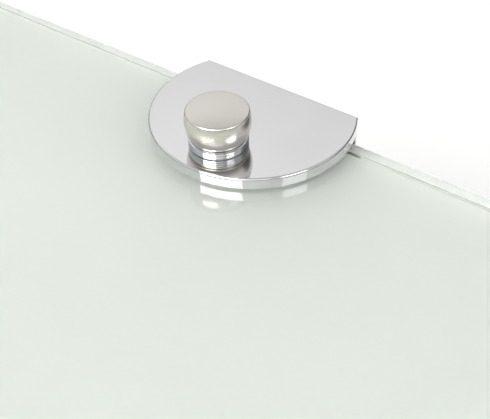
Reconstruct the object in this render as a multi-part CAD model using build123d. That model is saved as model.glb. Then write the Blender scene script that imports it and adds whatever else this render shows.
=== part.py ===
from build123d import *
import math
import os

os.makedirs("parts", exist_ok=True)

# Glass wall shelf held by two half-moon clamp brackets. Millimetres.
# X runs along the wall, the wall's surface is the plane y = 0, the room is on the -Y side and +Z is up.
# The origin is on the wall, midway between the brackets, at the height of the wall screws.

# ---- pane: clear toughened glass, flat-polished edges, lacquered on its underside ----
PANE_LENGTH = 600.0
PANE_DEPTH = 200.0
PANE_THICKNESS = 8.0
PANE_CORNER_RADIUS = 6.0
PANE_ARRIS = 0.6
LACQUER_THICKNESS = 0.15
LACQUER_MARGIN = 0.6

# ---- clamp body: one die casting, a D-shaped puck with a slot for the pane ----
BRACKET_SPACING = 300.0
BODY_RADIUS = 28.0
BODY_CENTRE_Y = -13.5
WEB_THICKNESS = 4.0
UPPER_JAW_THICKNESS = 3.3
LOWER_JAW_THICKNESS = 4.0
UPPER_GAP = 0.5
BODY_RIM_RADIUS = 0.6
BODY_CORNER_RADIUS = 0.5
SLOT_LIP_CHAMFER = 0.25

# ---- wall fixing: two countersunk 4 mm screws through each web ----
WALL_SCREW_SPACING = 24.0
WALL_HOLE_RADIUS = 2.25
WALL_COUNTERSINK_RADIUS = 4.2

# ---- rubber and plastic linings of the slot ----
GASKET_BACK_THICKNESS = 1.8
GASKET_TOP_DROP = 1.2
GASKET_LIP = 3.0
GASKET_OVERHANG = 2.2
GASKET_TIP = 0.5
GASKET_END_INSET = 2.0
LOWER_PAD_THICKNESS = 0.85
PAD_INSET = 1.2
PAD_GAP = 0.3
LINER_THICKNESS = 0.35
LINER_INSET = 1.5
LINER_HOLE_CLEARANCE = 0.8

# ---- clamp screw: knob, stud, threaded collar and swivelling foot ----
SCREW_Y = -28.9
STUD_RADIUS = 3.0
THREAD_CLEARANCE = 0.05
THREAD_PITCH = 1.0
LIFT_TURNS = 1.25
STOP_CLEARANCE = 0.05
COLLAR_RADIUS = 7.9
COLLAR_HEIGHT = 2.3
COLLAR_CHAMFER = 0.35
SPIGOT_RADIUS = 4.5
SPIGOT_RELIEF_RADIUS = 3.7
SPIGOT_RELIEF_EXTRA = 0.1
FOOT_RADIUS = 6.0
FOOT_RECESS_RADIUS = 6.5
FOOT_DISC_THICKNESS = 0.8
FOOT_BOSS_RADIUS = 3.4
FOOT_BOSS_HEIGHT = 0.9
FOOT_PAD_THICKNESS = 0.35
FOOT_PAD_RADIUS = 5.7
BUTTON_RADIUS = 2.0
BUTTON_HEIGHT = 0.8
BUTTON_NECK_RADIUS = 1.5
CRIMP_THICKNESS = 0.35
SWIVEL_CLEARANCE = 0.08
SWIVEL_END_PLAY = 0.05
KNOB_GAP = 0.2
KNOB_BEAD_RADIUS = 7.65
KNOB_BEAD_HEIGHT = 0.5
KNOB_GROOVE_RADIUS = 7.3
KNOB_GROOVE_HEIGHT = 0.2
KNOB_HEAD_HEIGHT = 6.9
KNOB_FOOT_RADIUS = 7.95
KNOB_WAIST_RADIUS = 8.62
KNOB_WAIST_HEIGHT = 3.0
KNOB_TOP_RADIUS = 8.3
KNOB_EDGE = 0.25
KNOB_CROWN = 0.35
KNOB_SOCKET_DEPTH = 4.6
STUD_END_CHAMFER = 0.4

# ---- the closest that two places in the model can be and still be different ----
TOLERANCE = 1e-6

# ---- levels and places that follow from the sizes above ----
GLASS_TOP = PANE_THICKNESS / 2
GLASS_BOTTOM = -PANE_THICKNESS / 2
LACQUER_BOTTOM = GLASS_BOTTOM - LACQUER_THICKNESS
SLOT_TOP = GLASS_TOP + UPPER_GAP
SLOT_BOTTOM = LACQUER_BOTTOM - LOWER_PAD_THICKNESS
BODY_TOP = SLOT_TOP + UPPER_JAW_THICKNESS
BODY_BOTTOM = SLOT_BOTTOM - LOWER_JAW_THICKNESS
PANE_BACK_Y = -(WEB_THICKNESS + GASKET_BACK_THICKNESS)
BODY_FRONT_Y = BODY_CENTRE_Y - BODY_RADIUS
FOOT_BOTTOM = GLASS_TOP + FOOT_PAD_THICKNESS
FOOT_DISC_TOP = FOOT_BOTTOM + FOOT_DISC_THICKNESS
FOOT_BOSS_TOP = FOOT_DISC_TOP + FOOT_BOSS_HEIGHT
LIFT = THREAD_PITCH * LIFT_TURNS
RECESS_TOP = FOOT_DISC_TOP + LIFT + STOP_CLEARANCE
COLLAR_TOP = BODY_TOP + COLLAR_HEIGHT
BUTTON_TOP = FOOT_BOSS_TOP - CRIMP_THICKNESS - SWIVEL_END_PLAY
BUTTON_BOTTOM = BUTTON_TOP - BUTTON_HEIGHT
KNOB_BOTTOM = COLLAR_TOP + KNOB_GAP
KNOB_HEAD_BOTTOM = KNOB_BOTTOM + KNOB_BEAD_HEIGHT + KNOB_GROOVE_HEIGHT
KNOB_TOP = KNOB_HEAD_BOTTOM + KNOB_HEAD_HEIGHT
STUD_TOP = KNOB_BOTTOM + KNOB_SOCKET_DEPTH


def write(name, solid):
    """Writes one sub-part as parts/NAME.step."""
    export_step(solid, f"parts/{name}.step")


def slab(low, high):
    """A box from its lowest to its highest corner."""
    size = [b - a for a, b in zip(low, high)]
    return Pos(*low) * Box(*size, align=(Align.MIN, Align.MIN, Align.MIN))


def disc(radius, bottom, top, y=SCREW_Y):
    """A round plate about the clamp screw's axis."""
    return Pos(0, y, bottom) * Cylinder(radius, top - bottom, align=(Align.CENTER, Align.CENTER, Align.MIN))


def turned(points):
    """A solid of revolution about the clamp screw's axis from (radius, height) points."""
    profile = make_face(Plane.XZ * Polyline(*points, close=True))
    return Pos(0, SCREW_Y, 0) * revolve(profile, Axis.Z)


def half_moon(inset, bottom, top, back_y=0.0):
    """A D-shaped plate: the bracket's outline drawn in by an inset and cut straight at back_y."""
    round_plate = disc(BODY_RADIUS - inset, bottom, top, y=BODY_CENTRE_Y)
    wall_side = slab((-BODY_RADIUS, back_y, bottom), (BODY_RADIUS, BODY_RADIUS, top))
    return round_plate - wall_side


def pane():
    """Float glass sheet with rounded corners and a small ground arris along every edge."""
    sheet = slab(
        (-PANE_LENGTH / 2, PANE_BACK_Y - PANE_DEPTH, GLASS_BOTTOM),
        (PANE_LENGTH / 2, PANE_BACK_Y, GLASS_TOP),
    )
    sheet = fillet(sheet.edges().filter_by(Axis.Z), PANE_CORNER_RADIUS)
    outline = sheet.faces().sort_by(Axis.Z)[-1].edges() + sheet.faces().sort_by(Axis.Z)[0].edges()
    return chamfer(outline, PANE_ARRIS)


def pane_lacquer():
    """Opaque lacquer film on the flat of the pane's underside, up to the arris."""
    film = slab(
        (-PANE_LENGTH / 2 + LACQUER_MARGIN, PANE_BACK_Y - PANE_DEPTH + LACQUER_MARGIN, LACQUER_BOTTOM),
        (PANE_LENGTH / 2 - LACQUER_MARGIN, PANE_BACK_Y - LACQUER_MARGIN, GLASS_BOTTOM),
    )
    return fillet(film.edges().filter_by(Axis.Z), PANE_CORNER_RADIUS - LACQUER_MARGIN)


def clamp_body():
    """D-shaped casting: upper jaw, web against the wall and lower jaw around one horizontal slot."""
    body = half_moon(0.0, BODY_BOTTOM, BODY_TOP)
    wall_corners = [edge for edge in body.edges().filter_by(Axis.Z) if abs(edge.center().Y) < TOLERANCE]
    body = fillet(wall_corners, BODY_CORNER_RADIUS)
    rims = body.faces().sort_by(Axis.Z)[-1].edges() + body.faces().sort_by(Axis.Z)[0].edges()
    body = fillet(rims, BODY_RIM_RADIUS)
    body -= slab((-BODY_RADIUS, BODY_FRONT_Y, SLOT_BOTTOM), (BODY_RADIUS, -WEB_THICKNESS, SLOT_TOP))
    slot_levels = (SLOT_TOP, SLOT_BOTTOM)
    mouth = [
        edge
        for edge in body.edges().filter_by(GeomType.CIRCLE)
        if abs(edge.radius - BODY_RADIUS) < TOLERANCE
        and min(abs(edge.center().Z - level) for level in slot_levels) < TOLERANCE
    ]
    body = chamfer(mouth, SLOT_LIP_CHAMFER)
    body -= disc(FOOT_RECESS_RADIUS, SLOT_TOP, RECESS_TOP)
    body -= disc(SPIGOT_RADIUS, RECESS_TOP, BODY_TOP)
    for side in (-1, 1):
        body -= wall_screw_hole(side * WALL_SCREW_SPACING / 2)
    return body


def wall_screw_hole(x):
    """Clearance hole through the web with a 90 degree countersink on its slot side."""
    sink = WALL_COUNTERSINK_RADIUS - WALL_HOLE_RADIUS
    profile = make_face(
        Polyline(
            (0, 0),
            (WALL_HOLE_RADIUS, 0),
            (WALL_HOLE_RADIUS, -WEB_THICKNESS + sink),
            (WALL_COUNTERSINK_RADIUS, -WEB_THICKNESS),
            (0, -WEB_THICKNESS),
            close=True,
        )
    )
    return Pos(x, 0, 0) * revolve(profile, Axis.Y)


def edge_gasket():
    """Black rubber strip: an upright behind the pane and a lip with tapered ends under its back edge."""
    body_half = math.sqrt(BODY_RADIUS**2 - (PANE_BACK_Y - BODY_CENTRE_Y) ** 2)
    upright_half = body_half - GASKET_END_INSET
    lip_half = body_half + GASKET_OVERHANG
    lip_front = PANE_BACK_Y - GASKET_LIP
    outline = Polyline(
        (-lip_half, PANE_BACK_Y),
        (lip_half, PANE_BACK_Y),
        (lip_half, PANE_BACK_Y - GASKET_TIP),
        (body_half, lip_front),
        (-body_half, lip_front),
        (-lip_half, PANE_BACK_Y - GASKET_TIP),
        close=True,
    )
    lip = Pos(0, 0, SLOT_BOTTOM) * extrude(make_face(outline), LACQUER_BOTTOM - SLOT_BOTTOM)
    upright = slab(
        (-upright_half, PANE_BACK_Y, SLOT_BOTTOM),
        (upright_half, -WEB_THICKNESS, GLASS_TOP - GASKET_TOP_DROP),
    )
    return upright + lip


def lower_pad():
    """Soft sheet bonded to the lower jaw, which carries the pane."""
    return half_moon(PAD_INSET, SLOT_BOTTOM, LACQUER_BOTTOM, back_y=PANE_BACK_Y - GASKET_LIP - PAD_GAP)


def upper_liner():
    """Thin plastic sheet bonded under the upper jaw, open around the foot's recess."""
    sheet = half_moon(LINER_INSET, SLOT_TOP - LINER_THICKNESS, SLOT_TOP, back_y=PANE_BACK_Y - GASKET_LIP)
    return sheet - disc(FOOT_RECESS_RADIUS + LINER_HOLE_CLEARANCE, SLOT_TOP - LINER_THICKNESS, SLOT_TOP)


def collar():
    """Threaded bush: a flange that stands on the upper jaw and a spigot pressed through it."""
    bore = STUD_RADIUS + THREAD_CLEARANCE
    relief_top = FOOT_BOSS_TOP + LIFT + SPIGOT_RELIEF_EXTRA
    return turned(
        [
            (SPIGOT_RELIEF_RADIUS, RECESS_TOP),
            (SPIGOT_RADIUS, RECESS_TOP),
            (SPIGOT_RADIUS, BODY_TOP),
            (COLLAR_RADIUS - COLLAR_CHAMFER / 2, BODY_TOP),
            (COLLAR_RADIUS, BODY_TOP + COLLAR_CHAMFER / 2),
            (COLLAR_RADIUS, COLLAR_TOP - COLLAR_CHAMFER),
            (COLLAR_RADIUS - COLLAR_CHAMFER, COLLAR_TOP),
            (bore, COLLAR_TOP),
            (bore, relief_top),
            (SPIGOT_RELIEF_RADIUS, relief_top),
        ]
    )


def knob():
    """Turned head: a bead and a groove at its foot, a barrel side and a slightly crowned top."""
    edge_radius = KNOB_TOP_RADIUS - KNOB_EDGE
    outline = Polyline(
        (STUD_RADIUS, KNOB_BOTTOM),
        (KNOB_GROOVE_RADIUS, KNOB_BOTTOM),
        (KNOB_BEAD_RADIUS, KNOB_BOTTOM + KNOB_BEAD_HEIGHT / 3),
        (KNOB_BEAD_RADIUS, KNOB_BOTTOM + 2 * KNOB_BEAD_HEIGHT / 3),
        (KNOB_GROOVE_RADIUS, KNOB_BOTTOM + KNOB_BEAD_HEIGHT),
        (KNOB_GROOVE_RADIUS, KNOB_HEAD_BOTTOM),
        (KNOB_FOOT_RADIUS, KNOB_HEAD_BOTTOM),
    )
    side = ThreePointArc(
        (KNOB_FOOT_RADIUS, KNOB_HEAD_BOTTOM),
        (KNOB_WAIST_RADIUS, KNOB_HEAD_BOTTOM + KNOB_WAIST_HEIGHT),
        (KNOB_TOP_RADIUS, KNOB_TOP - KNOB_EDGE),
    )
    edge = Line((KNOB_TOP_RADIUS, KNOB_TOP - KNOB_EDGE), (edge_radius, KNOB_TOP))
    crown_radius = (edge_radius**2 + KNOB_CROWN**2) / (2 * KNOB_CROWN)
    half_way = edge_radius / 2
    half_rise = math.sqrt(crown_radius**2 - half_way**2) - (crown_radius - KNOB_CROWN)
    crown_middle = (half_way, KNOB_TOP + half_rise)
    crown = ThreePointArc((edge_radius, KNOB_TOP), crown_middle, (0, KNOB_TOP + KNOB_CROWN))
    inside = Polyline(
        (0, KNOB_TOP + KNOB_CROWN),
        (0, STUD_TOP),
        (STUD_RADIUS, STUD_TOP),
        (STUD_RADIUS, KNOB_BOTTOM),
    )
    profile = make_face(Plane.XZ * Curve([outline, side, edge, crown, inside]))
    return Pos(0, SCREW_Y, 0) * revolve(profile, Axis.Z)


def clamp_screw():
    """Steel stud with a necked button at its lower end, which the foot is crimped around."""
    return turned(
        [
            (0, BUTTON_BOTTOM),
            (BUTTON_RADIUS, BUTTON_BOTTOM),
            (BUTTON_RADIUS, BUTTON_TOP),
            (BUTTON_NECK_RADIUS, BUTTON_TOP),
            (BUTTON_NECK_RADIUS, FOOT_BOSS_TOP + SWIVEL_END_PLAY),
            (STUD_RADIUS - STUD_END_CHAMFER, FOOT_BOSS_TOP + SWIVEL_END_PLAY),
            (STUD_RADIUS, FOOT_BOSS_TOP + SWIVEL_END_PLAY + STUD_END_CHAMFER),
            (STUD_RADIUS, STUD_TOP),
            (0, STUD_TOP),
        ]
    )


def foot():
    """Steel pressure foot: a disc with a boss whose stepped pocket holds the screw's button."""
    pocket = BUTTON_RADIUS + SWIVEL_CLEARANCE
    mouth = BUTTON_NECK_RADIUS + SWIVEL_CLEARANCE
    return turned(
        [
            (0, FOOT_BOTTOM),
            (FOOT_RADIUS, FOOT_BOTTOM),
            (FOOT_RADIUS, FOOT_DISC_TOP),
            (FOOT_BOSS_RADIUS, FOOT_DISC_TOP),
            (FOOT_BOSS_RADIUS, FOOT_BOSS_TOP),
            (mouth, FOOT_BOSS_TOP),
            (mouth, BUTTON_TOP + SWIVEL_END_PLAY),
            (pocket, BUTTON_TOP + SWIVEL_END_PLAY),
            (pocket, BUTTON_BOTTOM - SWIVEL_END_PLAY),
            (0, BUTTON_BOTTOM - SWIVEL_END_PLAY),
        ]
    )


def foot_pad():
    """Rubber disc bonded under the foot, which bears on the glass."""
    return disc(FOOT_PAD_RADIUS, GLASS_TOP, FOOT_BOTTOM)


write("glass_pane", pane())
write("pane_lacquer", pane_lacquer())

BRACKET_PIECES = {
    "clamp_body": clamp_body,
    "edge_gasket": edge_gasket,
    "lower_pad": lower_pad,
    "upper_liner": upper_liner,
    "threaded_collar": collar,
    "knob": knob,
    "clamp_screw": clamp_screw,
    "pressure_foot": foot,
    "foot_pad": foot_pad,
}
for side_name, side in (("left", -1), ("right", 1)):
    for piece_name, make_piece in BRACKET_PIECES.items():
        write(f"{side_name}_{piece_name}", Pos(side * BRACKET_SPACING / 2, 0, 0) * make_piece())
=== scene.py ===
import math

import bmesh
import bpy
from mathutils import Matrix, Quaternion, Vector


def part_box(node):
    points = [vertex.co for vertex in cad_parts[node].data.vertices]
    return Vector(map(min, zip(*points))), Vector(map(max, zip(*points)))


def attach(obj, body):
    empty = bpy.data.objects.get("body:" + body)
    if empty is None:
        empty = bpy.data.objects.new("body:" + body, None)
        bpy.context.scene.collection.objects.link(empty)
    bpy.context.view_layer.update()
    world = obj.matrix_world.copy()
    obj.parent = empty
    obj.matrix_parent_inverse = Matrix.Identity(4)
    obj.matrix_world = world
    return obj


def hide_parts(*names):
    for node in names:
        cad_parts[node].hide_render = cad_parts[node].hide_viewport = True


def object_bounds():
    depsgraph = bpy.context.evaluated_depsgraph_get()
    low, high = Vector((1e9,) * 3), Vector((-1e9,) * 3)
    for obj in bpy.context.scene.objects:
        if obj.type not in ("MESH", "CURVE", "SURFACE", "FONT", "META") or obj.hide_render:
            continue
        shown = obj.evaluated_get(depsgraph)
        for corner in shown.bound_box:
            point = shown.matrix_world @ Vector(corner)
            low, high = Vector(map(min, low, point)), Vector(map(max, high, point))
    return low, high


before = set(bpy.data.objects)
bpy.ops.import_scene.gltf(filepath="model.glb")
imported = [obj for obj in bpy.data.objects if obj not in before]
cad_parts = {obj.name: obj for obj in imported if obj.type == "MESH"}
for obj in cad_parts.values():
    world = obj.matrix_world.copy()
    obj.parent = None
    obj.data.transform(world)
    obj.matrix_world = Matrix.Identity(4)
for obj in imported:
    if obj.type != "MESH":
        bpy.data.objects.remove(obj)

CAD_LOW, CAD_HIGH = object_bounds()
MM = 0.001

# ---------------------------------------------------------------------------------------------
# Glass pane: an 8 mm sheet of clear toughened float glass. Its edges are ground flat and
# polished, and every edge has a 45 degree arris, left matt from the wheel. It lies in the slots
# of the two brackets.
# ---------------------------------------------------------------------------------------------
PANE_CORNER = 6.0 * MM
PANE_ARRIS = 0.6 * MM
ARRIS_SLOPE = math.sqrt(0.5)
SLOPE_PLAY = 0.15


def deselect():
    """Nothing is selected and no object is in edit mode."""
    if bpy.context.object and bpy.context.object.mode == "EDIT":
        bpy.ops.object.mode_set(mode="OBJECT")
    bpy.ops.object.select_all(action="DESELECT")


def add_block(low, high):
    """A box between two corners, with its place in its mesh."""
    deselect()
    bpy.ops.mesh.primitive_cube_add(size=1, location=(low + high) / 2, scale=high - low)
    bpy.ops.object.transform_apply(location=True, rotation=True, scale=True)
    return bpy.context.object


def pick_edges(piece, test):
    """Opens the piece for editing with only those edges selected whose two ends pass the test."""
    bpy.context.view_layer.objects.active = piece
    bpy.ops.object.mode_set(mode="EDIT")
    bpy.ops.mesh.select_mode(type="EDGE")
    bpy.ops.mesh.select_all(action="DESELECT")
    mesh = bmesh.from_edit_mesh(piece.data)
    for edge in mesh.edges:
        edge.select_set(test(edge.verts[0].co, edge.verts[1].co))
    bmesh.update_edit_mesh(piece.data)


def near(a, b, tolerance=0.01 * MM):
    """True where two lengths are the same to a hundredth of a millimetre."""
    return abs(a - b) < tolerance


def smooth(piece, angle=32):
    """Round stretches shade smoothly, flats stay flat and sharp edges stay sharp."""
    deselect()
    piece.select_set(True)
    bpy.context.view_layer.objects.active = piece
    bpy.ops.object.shade_smooth_by_angle(angle=math.radians(angle))
    bpy.ops.object.modifier_add(type="WEIGHTED_NORMAL")
    piece.modifiers[-1].keep_sharp = True
    bpy.ops.object.modifier_apply(modifier=piece.modifiers[-1].name)


def colour(code):
    """A linear RGBA colour from an sRGB hex value such as #E8EDE9."""
    steps = [int(code[i : i + 2], 16) / 255 for i in (1, 3, 5)]
    return [s / 12.92 if s <= 0.04045 else ((s + 0.055) / 1.055) ** 2.4 for s in steps] + [1.0]


def add_node(tree, kind, values=None, links=None, **settings):
    """Adds one shader node, with its settings, its own socket values and what feeds its sockets."""
    new = tree.nodes.new(kind)
    for name, value in settings.items():
        setattr(new, name, value)
    for name, value in (values or {}).items():
        new.inputs[name].default_value = value
    for name, source in (links or {}).items():
        tree.links.new(source, new.inputs[name])
    return new


def new_material(name):
    """A material of that name, its node tree and its one Principled shader."""
    material = bpy.data.materials.new(name)
    material.use_nodes = True
    return material, material.node_tree, material.node_tree.nodes["Principled BSDF"]


def noise(tree, size, detail):
    """Clouds of about that size in the object's own space; gives their value, from 0 to 1."""
    where = add_node(tree, "ShaderNodeTexCoord").outputs["Object"]
    clouds = add_node(tree, "ShaderNodeTexNoise", {"Scale": 1 / size, "Detail": detail}, {"Vector": where})
    return clouds.outputs["Fac"]


def product(tree, one, other):
    """One value times another."""
    times = add_node(tree, "ShaderNodeMath", links={0: one, 1: other}, operation="MULTIPLY")
    return times.outputs["Value"]


def blend(tree, shader, one, other, share):
    """The base colour goes from one hex colour to the other as share goes from 0 to 1."""
    mix = add_node(tree, "ShaderNodeMix", {6: colour(one), 7: colour(other)}, {0: share}, data_type="RGBA")
    tree.links.new(mix.outputs[2], shader.inputs["Base Color"])


def between(tree, low, high, share):
    """The value that goes from low to high as share goes from 0 to 1."""
    span = add_node(tree, "ShaderNodeMapRange", {"To Min": low, "To Max": high}, {"Value": share})
    return span.outputs["Result"]


def emboss(tree, shader, strength, depth, height):
    """Light catches the surface as if height were cut into it."""
    bump = add_node(tree, "ShaderNodeBump", {"Strength": strength, "Distance": depth}, {"Height": height})
    tree.links.new(bump.outputs["Normal"], shader.inputs["Normal"])


def place(piece, name, body, node, material):
    """Names a finished piece, gives it its finish, and puts it in its CAD node's place on its body."""
    deselect()
    piece.name = name
    piece.data.name = name
    piece.data.materials.clear()
    piece.data.materials.append(material)
    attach(piece, body)
    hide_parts(node)


pane_low, pane_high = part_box("glass_pane")
pane = add_block(pane_low, pane_high)
pick_edges(pane, lambda a, b: near(a.x, b.x) and near(a.y, b.y))
bpy.ops.mesh.bevel(offset=PANE_CORNER, segments=20, affect="EDGES")
pick_edges(pane, lambda a, b: near(a.z, b.z) and (near(a.z, pane_low.z) or near(a.z, pane_high.z)))
bpy.ops.mesh.bevel(offset=PANE_ARRIS, segments=1, affect="EDGES")
deselect()
smooth(pane)

# Toughened float glass: fully glossy but for the ground arrises, so it shows crisp, weak
# reflections. A trace of iron takes out red and blue over each centimetre: long paths turn green.
# The arrises are the faces at 45 degrees, and the lower ones are painted a pale grey: painted shade for the
# dim light that reaches them from below.
float_glass, tree, shader = new_material("toughened_float_glass")
shader.inputs["IOR"].default_value = 1.52
shader.inputs["Transmission Weight"].default_value = 1.0
facing = add_node(tree, "ShaderNodeNewGeometry").outputs["True Normal"]
upward = add_node(tree, "ShaderNodeSeparateXYZ", links={"Vector": facing}).outputs["Z"]
slope = add_node(tree, "ShaderNodeMath", links={0: upward}, operation="ABSOLUTE").outputs["Value"]
arris = add_node(tree, "ShaderNodeMath", {1: ARRIS_SLOPE, 2: SLOPE_PLAY}, {0: slope}, operation="COMPARE")
on_arris = arris.outputs["Value"]
where = add_node(tree, "ShaderNodeTexCoord").outputs["Object"]
level = add_node(tree, "ShaderNodeSeparateXYZ", links={"Vector": where}).outputs["Z"]
shaded_lower_half = add_node(tree, "ShaderNodeMath", {1: 0.0}, {0: level}, operation="LESS_THAN").outputs["Value"]
ground = between(tree, 0.45, 0.65, noise(tree, 0.6 * MM, 2.0))
tree.links.new(product(tree, on_arris, ground), shader.inputs["Roughness"])
# Painted shade: the lower arrises get a pale grey base colour for the little light that reaches them from
# below.
blend(tree, shader, "#FFFFFF", "#CDD2CA", product(tree, on_arris, shaded_lower_half))
iron_tint = add_node(tree, "ShaderNodeVolumeAbsorption", {"Color": colour("#C6F6CE"), "Density": 4.0})
tree.links.new(iron_tint.outputs["Volume"], tree.nodes["Material Output"].inputs["Volume"])
place(pane, "glass_sheet", "shelf", "glass_pane", float_glass)

# ---------------------------------------------------------------------------------------------
# Back lacquer: an opaque white film sprayed on the flat of the sheet's underside and baked. It
# stops at the arris.
# ---------------------------------------------------------------------------------------------
LACQUER_BITE = 0.02 * MM
LACQUER_CORNER = PANE_CORNER - PANE_ARRIS

lacquer_low, lacquer_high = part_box("pane_lacquer")
lacquer = add_block(lacquer_low, lacquer_high + Vector((0, 0, LACQUER_BITE)))
pick_edges(lacquer, lambda a, b: near(a.x, b.x) and near(a.y, b.y))
bpy.ops.mesh.bevel(offset=LACQUER_CORNER, segments=16, affect="EDGES")
deselect()
smooth(lacquer)

# Baked lacquer: a smooth white with a soft orange peel from spraying, which breaks up its gloss.
lacquer_white, tree, shader = new_material("baked_white_lacquer")
shader.inputs["Roughness"].default_value = 0.32
shader.inputs["IOR"].default_value = 1.5
blend(tree, shader, "#F8F9F5", "#FBFCF9", noise(tree, 90 * MM, 2.0))
emboss(tree, shader, 0.12, 0.02 * MM, noise(tree, 1.4 * MM, 1.0))
place(lacquer, "back_lacquer", "shelf", "pane_lacquer", lacquer_white)

# ---------------------------------------------------------------------------------------------
# Clamp bodies: half-moon zinc die castings, buffed and chrome plated. The straight side goes on
# the wall. A slot across the front makes an upper and a lower jaw, and two screws hold the web
# behind the slot to the wall.
# ---------------------------------------------------------------------------------------------
RIM_RADIUS = 0.6 * MM
WALL_CORNER = 0.5 * MM
LIP = 0.25 * MM
WALL_HOLE = 2.25 * MM
COUNTERSINK = 4.2 * MM
WALL_SCREW_STEP = 12.0 * MM
RECESS = 6.5 * MM
SPIGOT = 4.5 * MM
CUTTER_MARGIN = 5.0 * MM
SINK_MARGIN = 0.1 * MM

body_low, body_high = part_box("left_clamp_body")
twin_step = Vector((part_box("right_clamp_body")[0].x - body_low.x, 0, 0))
plate_radius = (body_high.x - body_low.x) / 2
plate_centre = Vector(((body_low.x + body_high.x) / 2, body_low.y + plate_radius, 0))
slot_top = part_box("left_upper_liner")[1].z
slot_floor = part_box("left_lower_pad")[0].z
web_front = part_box("left_edge_gasket")[1].y
recess_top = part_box("left_threaded_collar")[0].z
knob_low, knob_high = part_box("left_knob")
axis = Vector(((knob_low.x + knob_high.x) / 2, (knob_low.y + knob_high.y) / 2, 0))


def add_disc(centre, radius, bottom, top, sides=256):
    """A round plate between two heights."""
    deselect()
    bpy.ops.mesh.primitive_cylinder_add(
        vertices=sides, radius=radius, depth=top - bottom, location=(centre.x, centre.y, (bottom + top) / 2))
    bpy.ops.object.transform_apply(location=True, rotation=True, scale=True)
    return bpy.context.object


def add_half_moon(inset, bottom, top, back):
    """A D-shaped plate: a round plate cut straight at back, with its cut side closed."""
    piece = add_disc(plate_centre, plate_radius - inset, bottom, top)
    bpy.ops.object.mode_set(mode="EDIT")
    bpy.ops.mesh.select_all(action="SELECT")
    bpy.ops.mesh.bisect(plane_co=(0, back, 0), plane_no=(0, 1, 0), use_fill=True, clear_outer=True)
    bpy.ops.object.mode_set(mode="OBJECT")
    return piece


def cut(piece, cutter):
    """Takes the cutter's shape out of the piece, and the cutter away."""
    deselect()
    bpy.context.view_layer.objects.active = piece
    bpy.ops.object.modifier_add(type="BOOLEAN")
    piece.modifiers[-1].object = cutter
    piece.modifiers[-1].solver = "EXACT"
    bpy.ops.object.modifier_apply(modifier=piece.modifiers[-1].name)
    bpy.data.objects.remove(cutter)


def twin(piece, name, body, node, material):
    """The right bracket's piece: a copy of the left one with a mesh of its own, one step along the wall."""
    deselect()
    other = piece.copy()
    other.data = piece.data.copy()
    bpy.context.scene.collection.objects.link(other)
    for key in list(other.keys()):
        del other[key]
    other.parent = None
    other.matrix_world.translation = twin_step
    other.select_set(True)
    bpy.context.view_layer.objects.active = other
    bpy.ops.object.transform_apply(location=True, rotation=True, scale=True)
    place(other, name, body, node, material)


def place_pair(piece, name, body, node, material):
    """Places a left piece and its twin; body and node are given without their side."""
    bodies = {side: body if body == "shelf" else f"{side}_{body}" for side in ("left", "right")}
    twin(piece, f"right_{name}", bodies["right"], f"right_{node}", material)
    place(piece, f"left_{name}", bodies["left"], f"left_{node}", material)


casting = add_half_moon(0.0, body_low.z, body_high.z, body_high.y)
pick_edges(casting, lambda a, b: near(a.x, b.x) and near(a.y, 0) and near(b.y, 0) and not near(a.z, b.z))
bpy.ops.mesh.bevel(offset=WALL_CORNER, segments=5, affect="EDGES")
pick_edges(casting, lambda a, b: near(a.z, b.z) and (near(a.z, body_low.z) or near(a.z, body_high.z)))
bpy.ops.mesh.bevel(offset=RIM_RADIUS, segments=8, affect="EDGES")
cut(casting, add_block(Vector((body_low.x - CUTTER_MARGIN, body_low.y - CUTTER_MARGIN, slot_floor)),
                       Vector((body_high.x + CUTTER_MARGIN, web_front, slot_top))))


def on_plate_edge(point):
    """True on the casting's round side."""
    return near((point.xy - plate_centre.xy).length, plate_radius)


pick_edges(casting, lambda a, b: near(a.z, b.z) and (near(a.z, slot_top) or near(a.z, slot_floor))
           and on_plate_edge(a) and on_plate_edge(b))
bpy.ops.mesh.bevel(offset=LIP, segments=2, affect="EDGES")
deselect()
cut(casting, add_disc(axis, RECESS, slot_top - CUTTER_MARGIN / 2, recess_top, sides=96))
cut(casting, add_disc(axis, SPIGOT, recess_top - MM, body_high.z + MM, sides=96))
sink_depth = COUNTERSINK + SINK_MARGIN - WALL_HOLE
for side in (-1, 1):
    hole_x = plate_centre.x + side * WALL_SCREW_STEP
    deselect()
    bpy.ops.mesh.primitive_cylinder_add(vertices=64, radius=WALL_HOLE, depth=4 * CUTTER_MARGIN,
                                        location=(hole_x, 0, 0), rotation=(math.pi / 2, 0, 0))
    cut(casting, bpy.context.object)
    deselect()
    bpy.ops.mesh.primitive_cone_add(vertices=64, radius1=WALL_HOLE, radius2=COUNTERSINK + SINK_MARGIN,
                                    depth=sink_depth, rotation=(math.pi / 2, 0, 0),
                                    location=(hole_x, web_front - SINK_MARGIN + sink_depth / 2, 0))
    cut(casting, bpy.context.object)
smooth(casting)

# Chrome plate over buffed zinc: a cool, near-neutral mirror. The casting under it was buffed by
# hand, so flats roll by a few hundredths of a millimetre and reflections bend slightly.
chrome, tree, shader = new_material("buffed_chrome_plate")
shader.inputs["Metallic"].default_value = 1.0
patches = noise(tree, 12 * MM, 3.0)
blend(tree, shader, "#D7D7D8", "#DDDDDD", patches)
tree.links.new(between(tree, 0.03, 0.07, patches), shader.inputs["Roughness"])
emboss(tree, shader, 0.35, 0.05 * MM, noise(tree, 18 * MM, 1.0))
place_pair(casting, "half_moon_casting", "shelf", "clamp_body", chrome)

# ---------------------------------------------------------------------------------------------
# Edge gaskets: extruded black rubber strips. The upright stands between the web and the pane's
# back edge, and the lip lies under the pane. The lip's ends are cut to a taper and stick out.
# ---------------------------------------------------------------------------------------------
GASKET_LIP = 3.0 * MM
GASKET_TIP = 0.5 * MM
GASKET_OVERHANG = 2.2 * MM
GASKET_END_INSET = 2.0 * MM
GASKET_ROUNDING = 0.12 * MM

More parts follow.
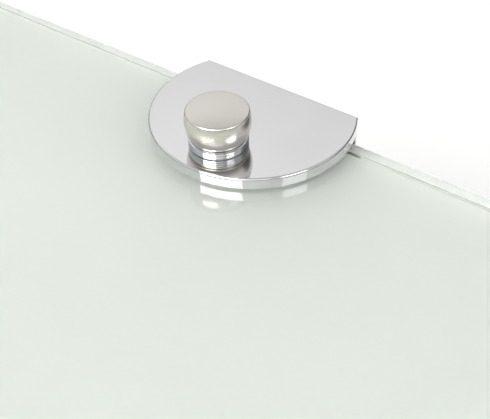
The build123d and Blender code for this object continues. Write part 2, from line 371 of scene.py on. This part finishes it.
gasket_low, gasket_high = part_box("left_edge_gasket")
gasket = add_block(gasket_low, Vector((gasket_high.x, pane_high.y, lacquer_low.z)))
bpy.ops.object.mode_set(mode="EDIT")
for end, outward in ((gasket_low.x, -1), (gasket_high.x, 1)):
    body_end = end - outward * GASKET_OVERHANG
    taper = Vector((outward * (GASKET_LIP - GASKET_TIP), -GASKET_OVERHANG, 0)).normalized()
    bpy.ops.mesh.select_all(action="SELECT")
    bpy.ops.mesh.bisect(plane_co=(body_end, gasket_low.y, 0), plane_no=taper, use_fill=True, clear_outer=True)
    bpy.ops.mesh.select_all(action="SELECT")
    bpy.ops.mesh.bisect(plane_co=(body_end - outward * GASKET_END_INSET, 0, 0), plane_no=(1, 0, 0))


def pick_faces(piece, test):
    """Selects only the open piece's faces whose middle passes the test."""
    bpy.ops.mesh.select_mode(type="FACE")
    bpy.ops.mesh.select_all(action="DESELECT")
    mesh = bmesh.from_edit_mesh(piece.data)
    for face in mesh.faces:
        face.select_set(test(face.calc_center_median()))
    bmesh.update_edit_mesh(piece.data)


pick_faces(gasket, lambda middle: near(middle.y, pane_high.y) and near(middle.x, plate_centre.x))
bpy.ops.mesh.extrude_region_move(TRANSFORM_OT_translate={"value": (0, web_front - pane_high.y, 0)})
pick_faces(gasket, lambda middle: near(middle.z, lacquer_low.z) and middle.y > pane_high.y)
bpy.ops.mesh.extrude_region_move(TRANSFORM_OT_translate={"value": (0, 0, gasket_high.z - lacquer_low.z)})
bpy.ops.mesh.select_all(action="SELECT")
bpy.ops.mesh.remove_doubles(threshold=0.001 * MM)
bpy.ops.mesh.dissolve_limited(angle_limit=math.radians(1))
pick_edges(gasket, lambda a, b: not (near(a.y, pane_high.y) and near(b.y, pane_high.y)))
bpy.ops.mesh.bevel(offset=GASKET_ROUNDING, segments=2, affect="EDGES")
deselect()
smooth(gasket)

# Moulded black rubber: nearly black and dull, with a fine grain from the mould.
rubber, tree, shader = new_material("moulded_black_rubber")
shader.inputs["Roughness"].default_value = 0.62
shader.inputs["IOR"].default_value = 1.5
grain = noise(tree, 0.4 * MM, 2.0)
blend(tree, shader, "#17181A", "#242527", grain)
emboss(tree, shader, 0.4, 0.03 * MM, grain)
place_pair(gasket, "edge_strip", "shelf", "edge_gasket", rubber)

# ---------------------------------------------------------------------------------------------
# Slot linings: soft clear PVC sheet, punched to shape and bonded to the jaws. The thick lower pad
# carries the pane, and the thin upper liner keeps metal off the glass around the foot's recess.
# ---------------------------------------------------------------------------------------------
PAD_INSET = 1.2 * MM
LINER_INSET = 1.5 * MM
LINER_HOLE = 7.3 * MM
PUNCHED_EDGE = 0.12 * MM

pad_low, pad_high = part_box("left_lower_pad")
pad = add_half_moon(PAD_INSET, pad_low.z, pad_high.z, pad_high.y)
pick_edges(pad, lambda a, b: near(a.z, pad_high.z) and near(b.z, pad_high.z))
bpy.ops.mesh.bevel(offset=PUNCHED_EDGE, segments=2, affect="EDGES")
deselect()
smooth(pad)

liner_low, liner_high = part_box("left_upper_liner")
liner = add_half_moon(LINER_INSET, liner_low.z, liner_high.z, liner_high.y)
cut(liner, add_disc(axis, LINER_HOLE, liner_low.z - MM, liner_high.z + MM, sides=96))
smooth(liner)

# Clear PVC sheet: milky rather than glassy, with a calendered finish that scatters its shine.
soft_pvc, tree, shader = new_material("calendered_clear_pvc")
shader.inputs["Roughness"].default_value = 0.38
shader.inputs["IOR"].default_value = 1.53
shader.inputs["Transmission Weight"].default_value = 0.35
haze = noise(tree, 3 * MM, 3.0)
blend(tree, shader, "#CBD0CF", "#DCE0DE", haze)
emboss(tree, shader, 0.25, 0.02 * MM, haze)
place_pair(pad, "jaw_pad", "shelf", "lower_pad", soft_pvc)
place_pair(liner, "jaw_liner", "shelf", "upper_liner", soft_pvc)

# ---------------------------------------------------------------------------------------------
# Threaded collars: turned brass bushes, chrome plated. The flange stands on the upper jaw, with
# three rounded rings turned on its side. The spigot is pressed through the jaw, and the bore
# carries the M6 thread.
# ---------------------------------------------------------------------------------------------
COLLAR_EDGE = 0.35 * MM
COLLAR_ROUNDING = 0.1 * MM
RINGS = 3
RING_BULGE = 0.08 * MM
GROOVE_WIDTH = 0.16 * MM
BORE = 3.05 * MM
RELIEF = 3.7 * MM
RELIEF_ABOVE_FOOT = 1.35 * MM

collar_low, collar_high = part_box("left_threaded_collar")
foot_low, foot_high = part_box("left_pressure_foot")


def turn_on_lathe(rings, sides=160):
    """A turned piece about the clamp screw's axis. Each (radius, height) ring is drawn out of the one
    before; the profile closes on its first ring, or its first ring is capped and it ends on the axis."""
    deselect()
    radius, height = rings[0]
    bpy.ops.mesh.primitive_circle_add(vertices=sides, radius=radius, location=(axis.x, axis.y, height))
    bpy.ops.object.transform_apply(location=True, rotation=True, scale=True)
    piece = bpy.context.object
    bpy.ops.object.mode_set(mode="EDIT")
    bpy.ops.mesh.select_mode(type="EDGE")
    bpy.ops.mesh.select_all(action="SELECT")
    if rings[0] != rings[-1]:
        bpy.ops.mesh.edge_face_add()
        bpy.ops.mesh.select_mode(type="EDGE")
    for next_radius, next_height in rings[1:]:
        bpy.ops.mesh.extrude_edges_move(TRANSFORM_OT_translate={"value": (0, 0, next_height - height)})
        shrink = next_radius / radius
        bpy.ops.transform.resize(value=(shrink, shrink, 1), center_override=(axis.x, axis.y, next_height))
        radius, height = next_radius, next_height
    bpy.ops.mesh.select_all(action="SELECT")
    bpy.ops.mesh.remove_doubles(threshold=0.0005 * MM)
    bpy.ops.mesh.normals_make_consistent(inside=False)
    deselect()
    return piece


def round_ring(piece, radius, height, rounding, segments=3):
    """Rounds one sharp ring of a turned piece."""
    def on_ring(point):
        return near(point.z, height) and near((point.xy - axis.xy).length, radius)

    pick_edges(piece, lambda a, b: on_ring(a) and on_ring(b))
    bpy.ops.mesh.bevel(offset=rounding, segments=segments, affect="EDGES")
    deselect()


def shares(count):
    """Evenly spaced shares from 0 to 1, both ends included."""
    return [step / count for step in range(count + 1)]


def lathe_marks(tree, pitch):
    """Fine uneven rings round the turning axis; gives their value, from 0 to 1."""
    where = add_node(tree, "ShaderNodeTexCoord").outputs["Object"]
    height = add_node(tree, "ShaderNodeSeparateXYZ", links={"Vector": where}).outputs["Z"]
    marks = add_node(tree, "ShaderNodeTexNoise", {"Scale": 1 / pitch, "Detail": 1.0}, {"W": height},
                     noise_dimensions="1D")
    return marks.outputs["Fac"]


collar_radius = (collar_high.x - collar_low.x) / 2
relief_top = foot_high.z + RELIEF_ABOVE_FOOT


def collar_side():
    """The side of the flange from its foot up: rounded rings, with a fine groove between each two."""
    ring_height = (collar_high.z - body_high.z - COLLAR_EDGE - (RINGS - 1) * GROOVE_WIDTH) / RINGS
    outline = []
    for ring in range(RINGS):
        ring_foot = body_high.z + COLLAR_EDGE / 2 + ring * (ring_height + GROOVE_WIDTH)
        for share in shares(8):
            bulge = RING_BULGE * (math.sin(math.pi * share) - 1)
            outline.append((collar_radius + bulge, ring_foot + ring_height * share))
        outline.append((collar_radius - 2 * RING_BULGE, ring_foot + ring_height + GROOVE_WIDTH / 2))
    return outline[:-1]


collar = turn_on_lathe([
    (RELIEF, collar_low.z),
    (SPIGOT, collar_low.z),
    (SPIGOT, body_high.z),
    (collar_radius - COLLAR_EDGE / 2, body_high.z),
    *collar_side(),
    (collar_radius - COLLAR_EDGE, collar_high.z),
    (BORE, collar_high.z),
    (BORE, relief_top),
    (RELIEF, relief_top),
    (RELIEF, collar_low.z),
])
round_ring(collar, collar_radius - COLLAR_EDGE, collar_high.z, COLLAR_ROUNDING)
smooth(collar)

# Chrome plate on turned brass: the same cool mirror as the casting, but truer, with lathe marks
# so fine that they only draw the highlights out a little around the axis.
turned_chrome, tree, shader = new_material("turned_chrome_plate")
shader.inputs["Metallic"].default_value = 1.0
marks = lathe_marks(tree, 0.25 * MM)
blend(tree, shader, "#D2D5D8", "#DADCDE", marks)
tree.links.new(between(tree, 0.04, 0.09, marks), shader.inputs["Roughness"])
emboss(tree, shader, 0.2, 0.004 * MM, marks)
place_pair(collar, "collar_bush", "shelf", "threaded_collar", turned_chrome)

# ---------------------------------------------------------------------------------------------
# Pressure feet: zinc-plated steel discs with a boss that is crimped round the screw's button, so
# the foot stays still while the screw turns. A rubber disc under each one bears on the glass.
# ---------------------------------------------------------------------------------------------
FOOT_DISC = 0.8 * MM
FOOT_BOSS = 3.4 * MM
POCKET = 2.08 * MM
CRIMP_MOUTH = 1.58 * MM
CRIMP = 0.35 * MM
POCKET_DEPTH = 0.9 * MM
FOOT_ROUNDING = 0.15 * MM
FOOT_PAD_ROUNDING = 0.1 * MM

foot_radius = (foot_high.x - foot_low.x) / 2
pocket_top = foot_high.z - CRIMP
foot = turn_on_lathe([
    (foot_radius, foot_low.z),
    (foot_radius, foot_low.z + FOOT_DISC),
    (FOOT_BOSS, foot_low.z + FOOT_DISC),
    (FOOT_BOSS, foot_high.z),
    (CRIMP_MOUTH, foot_high.z),
    (CRIMP_MOUTH, pocket_top),
    (POCKET, pocket_top),
    (POCKET, pocket_top - POCKET_DEPTH),
    (0, pocket_top - POCKET_DEPTH),
])
round_ring(foot, foot_radius, foot_low.z + FOOT_DISC, FOOT_ROUNDING)
round_ring(foot, FOOT_BOSS, foot_high.z, FOOT_ROUNDING)
smooth(foot)

foot_pad_low, foot_pad_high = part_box("left_foot_pad")
foot_pad_radius = (foot_pad_high.x - foot_pad_low.x) / 2
foot_pad = turn_on_lathe([
    (foot_pad_radius, foot_pad_low.z),
    (foot_pad_radius, foot_pad_high.z),
    (0, foot_pad_high.z),
])
round_ring(foot_pad, foot_pad_radius, foot_pad_low.z, FOOT_PAD_ROUNDING)
smooth(foot_pad)

# Bright zinc plate on steel: a soft blue-grey metal, duller than chrome, with cloudy crystals.
zinc_plate, tree, shader = new_material("bright_zinc_plated_steel")
shader.inputs["Metallic"].default_value = 1.0
where = add_node(tree, "ShaderNodeTexCoord").outputs["Object"]
crystals = add_node(tree, "ShaderNodeTexVoronoi", {"Scale": 1 / (0.8 * MM)}, {"Vector": where})
spangle = crystals.outputs["Distance"]
blend(tree, shader, "#A9AEB5", "#C3C6CA", spangle)
tree.links.new(between(tree, 0.22, 0.36, spangle), shader.inputs["Roughness"])
place_pair(foot, "press_foot", "foot", "pressure_foot", zinc_plate)
place_pair(foot_pad, "foot_disc", "foot", "foot_pad", rubber)

# ---------------------------------------------------------------------------------------------
# Clamp screws: M6 steel studs with a rolled thread, pressed into the knobs. The lower end is
# turned down to a neck and a button, which the foot holds.
# ---------------------------------------------------------------------------------------------
STUD = 3.0 * MM
THREAD_PITCH = 1.0 * MM
THREAD_DEPTH = 0.55 * MM
THREAD_STEPS = 8
BUTTON = 2.0 * MM
BUTTON_HEIGHT = 0.8 * MM
NECK = 1.5 * MM
END_CHAMFER = 0.4 * MM
SWIVEL_PLAY = 0.05 * MM

screw_low, screw_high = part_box("left_clamp_screw")
thread_start = foot_high.z + SWIVEL_PLAY + END_CHAMFER
thread_rings = int((screw_high.z - thread_start) / THREAD_PITCH * THREAD_STEPS)
stud = turn_on_lathe(
    [
        (BUTTON, screw_low.z),
        (BUTTON, screw_low.z + BUTTON_HEIGHT),
        (NECK, screw_low.z + BUTTON_HEIGHT),
        (NECK, foot_high.z + SWIVEL_PLAY),
        (STUD - END_CHAMFER, foot_high.z + SWIVEL_PLAY),
    ]
    + [(STUD, thread_start + i * THREAD_PITCH / THREAD_STEPS) for i in range(thread_rings)]
    + [(STUD, screw_high.z), (0, screw_high.z)],
    sides=64,
)
for vertex in stud.data.vertices:
    arm = vertex.co.xy - axis.xy
    if arm.length > STUD - END_CHAMFER / 2 and thread_start < vertex.co.z < screw_high.z - END_CHAMFER:
        turns = vertex.co.z / THREAD_PITCH - math.atan2(arm.y, arm.x) / (2 * math.pi)
        valley = 1 - abs(2 * (turns % 1) - 1)
        vertex.co.xy = axis.xy + arm * (1 - THREAD_DEPTH * valley / STUD)
smooth(stud, angle=40)
place_pair(stud, "clamp_stud", "knob", "clamp_screw", zinc_plate)

# ---------------------------------------------------------------------------------------------
# Knobs: heads turned from brass bar and nickel plated, plain so that they wipe clean. A bead and
# a groove finish the foot, the side is a shallow barrel, and the top is crowned by a hair.
# ---------------------------------------------------------------------------------------------
BEAD_HEIGHT = 0.5 * MM
GROOVE = 7.3 * MM
BEAD = 0.35 * MM
GROOVE_HEIGHT = 0.2 * MM
HEAD_FOOT = 7.95 * MM
WAIST = 8.62 * MM
WAIST_HEIGHT = 3.0 * MM
HEAD_TOP = 8.3 * MM
TOP_EDGE = 0.25 * MM
CROWN = 0.35 * MM
EDGE_ROUNDING = 0.12 * MM

knob_top = knob_high.z - CROWN
head_bottom = knob_low.z + BEAD_HEIGHT + GROOVE_HEIGHT
side_height = knob_top - TOP_EDGE - head_bottom


def barrel(height):
    """The head's radius at a height on its side: the parabola through its foot, waist and top edge."""
    to_waist = (WAIST - HEAD_FOOT) / WAIST_HEIGHT
    to_top = (HEAD_TOP - HEAD_FOOT) / side_height
    bend = (to_top - to_waist) / (side_height - WAIST_HEIGHT)
    return HEAD_FOOT + height * (to_waist + bend * (height - WAIST_HEIGHT))


def bead(share):
    """A point on the half-round bead, from its lower to its upper end."""
    angle = math.pi * share
    return (GROOVE + BEAD * math.sin(angle), knob_low.z + BEAD_HEIGHT * (1 - math.cos(angle)) / 2)


def crown(share):
    """A point on the crowned top, from its edge to the axis."""
    return ((HEAD_TOP - TOP_EDGE) * (1 - share), knob_top + CROWN * (1 - (1 - share) ** 2))


knob = turn_on_lathe(
    [(STUD, screw_high.z), (STUD, knob_low.z)]
    + [bead(share) for share in shares(8)]
    + [(GROOVE, head_bottom)]
    + [(barrel(side_height * share), head_bottom + side_height * share) for share in shares(20)]
    + [crown(share) for share in shares(16)],
    sides=192,
)
round_ring(knob, HEAD_FOOT, head_bottom, EDGE_ROUNDING)
round_ring(knob, HEAD_TOP, knob_top - TOP_EDGE, EDGE_ROUNDING)
round_ring(knob, HEAD_TOP - TOP_EDGE, knob_top, EDGE_ROUNDING)
smooth(knob)

# Bright nickel plate: warmer than chrome and softer, so lights show in it as blurred patches, with
# faint lathe rings on the side and a fine haze from wiping.
nickel, tree, shader = new_material("bright_nickel_plate")
shader.inputs["Metallic"].default_value = 1.0
haze = noise(tree, 6 * MM, 3.0)
blend(tree, shader, "#D8D5CE", "#DEDBD4", haze)
tree.links.new(between(tree, 0.22, 0.27, haze), shader.inputs["Roughness"])
emboss(tree, shader, 0.25, 0.005 * MM, lathe_marks(tree, 0.3 * MM))
place_pair(knob, "thumb_knob", "knob", "knob", nickel)

# ---------------------------------------------------------------------------------------------
# Studio: a pale floor well below the shelf, large soft lights and the camera.
# ---------------------------------------------------------------------------------------------
FLOOR_DROP = 0.25
FLOOR_SIZE = 12.0

deselect()
bpy.ops.mesh.primitive_plane_add(size=FLOOR_SIZE, location=(0, 0, CAD_LOW.z - FLOOR_DROP))
floor = bpy.context.object
floor.name = "studio_floor"
floor_paint, tree, shader = new_material("matt_white_floor_paint")
shader.inputs["Base Color"].default_value = colour("#FDFDFC")
shader.inputs["Roughness"].default_value = 0.9
floor.data.materials.append(floor_paint)

shown = Vector((plate_centre.x, plate_centre.y, pane_high.z))


def direction(azimuth, elevation):
    """The unit vector from the object towards a place round it; azimuth 0 is straight out from the wall."""
    a, e = math.radians(azimuth), math.radians(elevation)
    return Vector((math.sin(a) * math.cos(e), -math.cos(a) * math.cos(e), math.sin(e)))


def softbox(name, azimuth, elevation, distance, width, height, strength):
    """A soft rectangular light that faces the shown bracket; strength is its brightness to the eye."""
    light = bpy.data.lights.new(name, "AREA")
    light.shape = "RECTANGLE"
    light.size, light.size_y = width, height
    light.energy = strength * math.pi * width * height
    lamp = bpy.data.objects.new(name, light)
    bpy.context.scene.collection.objects.link(lamp)
    lamp.location = shown + direction(azimuth, elevation) * distance
    lamp.rotation_mode = "QUATERNION"
    lamp.rotation_quaternion = direction(azimuth, elevation).to_track_quat("Z", "Y")


softbox("front_softbox", -1.75, 41, 1.6, 1.04, 0.5, 14.5)
softbox("side_strip", 81, 41, 1.6, 0.62, 0.35, 6.0)
softbox("camera_fill", 30, 44, 1.7, 1.0, 1.0, 0.8)

# The room: a dim band along the horizon, a bright band that grows stronger as it rises, and a
# softer ceiling. Each level is (the height of the direction, its brightness), kept in the ramp as a
# share of RAMP_TOP. Behind the shelf the room falls off a little to the right, where a dark flag
# draws the thin dark line along the rims. The camera sees plain white.
ROOM_LEVELS = (
    (0.18, 0.22), (0.36, 0.98), (0.56, 1.0), (0.65, 1.155), (0.66, 1.155), (0.69, 0.86), (0.76, 0.66),
)
RAMP_TOP = 1.2
FLAG_DIRECTION = (0.5, 0.866, 0.0)

room = bpy.data.worlds.new("studio_room")
bpy.context.scene.world = room
room.use_nodes = True
tree = room.node_tree
glow = tree.nodes["Background"]
where = add_node(tree, "ShaderNodeTexCoord").outputs["Generated"]
sides = add_node(tree, "ShaderNodeSeparateXYZ", links={"Vector": where})
levels = add_node(tree, "ShaderNodeValToRGB", links={"Fac": sides.outputs["Z"]})
bands = levels.color_ramp.elements
for height, brightness in ROOM_LEVELS:
    bands.new(height).color = (brightness / RAMP_TOP,) * 3 + (1,)
bands.remove(bands[0])
bands.remove(bands[-1])
fall = add_node(tree, "ShaderNodeMapRange", {"From Min": -0.54, "From Max": -0.40, "To Min": 0.963 * RAMP_TOP,
                                             "To Max": 0.864 * RAMP_TOP}, {"Value": sides.outputs["X"]})
flag = add_node(tree, "ShaderNodeVectorMath", {1: FLAG_DIRECTION}, {0: where}, operation="DOT_PRODUCT")
shade = add_node(tree, "ShaderNodeMapRange", {"From Min": 0.78, "From Max": 0.86, "To Min": 1.0,
                                              "To Max": 0.15}, {"Value": flag.outputs["Value"]})
level = product(tree, product(tree, levels.outputs["Color"], fall.outputs["Result"]), shade.outputs["Result"])
seen = add_node(tree, "ShaderNodeLightPath").outputs["Is Camera Ray"]
strength = add_node(tree, "ShaderNodeMath", links={0: level, 1: seen}, operation="MAXIMUM")
glow.inputs["Color"].default_value = (1, 1, 1, 1)
tree.links.new(strength.outputs["Value"], glow.inputs["Strength"])

bpy.context.scene.view_settings.view_transform = "Standard"

# The camera looks down on the left bracket from the front right.
CAMERA_AZIMUTH = 36.44
CAMERA_ELEVATION = 42.27
CAMERA_ROLL = -1.62
CAMERA_DISTANCE = 9.632
CAMERA_SLIDE = 0.0784
CAMERA_RISE = 0.8343
CAMERA_LENS = 73.47

back = direction(CAMERA_AZIMUTH, CAMERA_ELEVATION)
turn = back.to_track_quat("Z", "Y") @ Quaternion((0, 0, 1), math.radians(CAMERA_ROLL))
camera = bpy.data.objects.new("camera", bpy.data.cameras.new("camera"))
bpy.context.scene.collection.objects.link(camera)
camera.data.lens = CAMERA_LENS
camera.data.sensor_width = 36.0
camera.data.clip_start = 0.01
camera.rotation_mode = "QUATERNION"
camera.rotation_quaternion = turn
camera.location = shown + plate_radius * (
    back * CAMERA_DISTANCE
    - (turn @ Vector((1, 0, 0))) * CAMERA_SLIDE
    - (turn @ Vector((0, 1, 0))) * CAMERA_RISE
)
bpy.context.scene.camera = camera
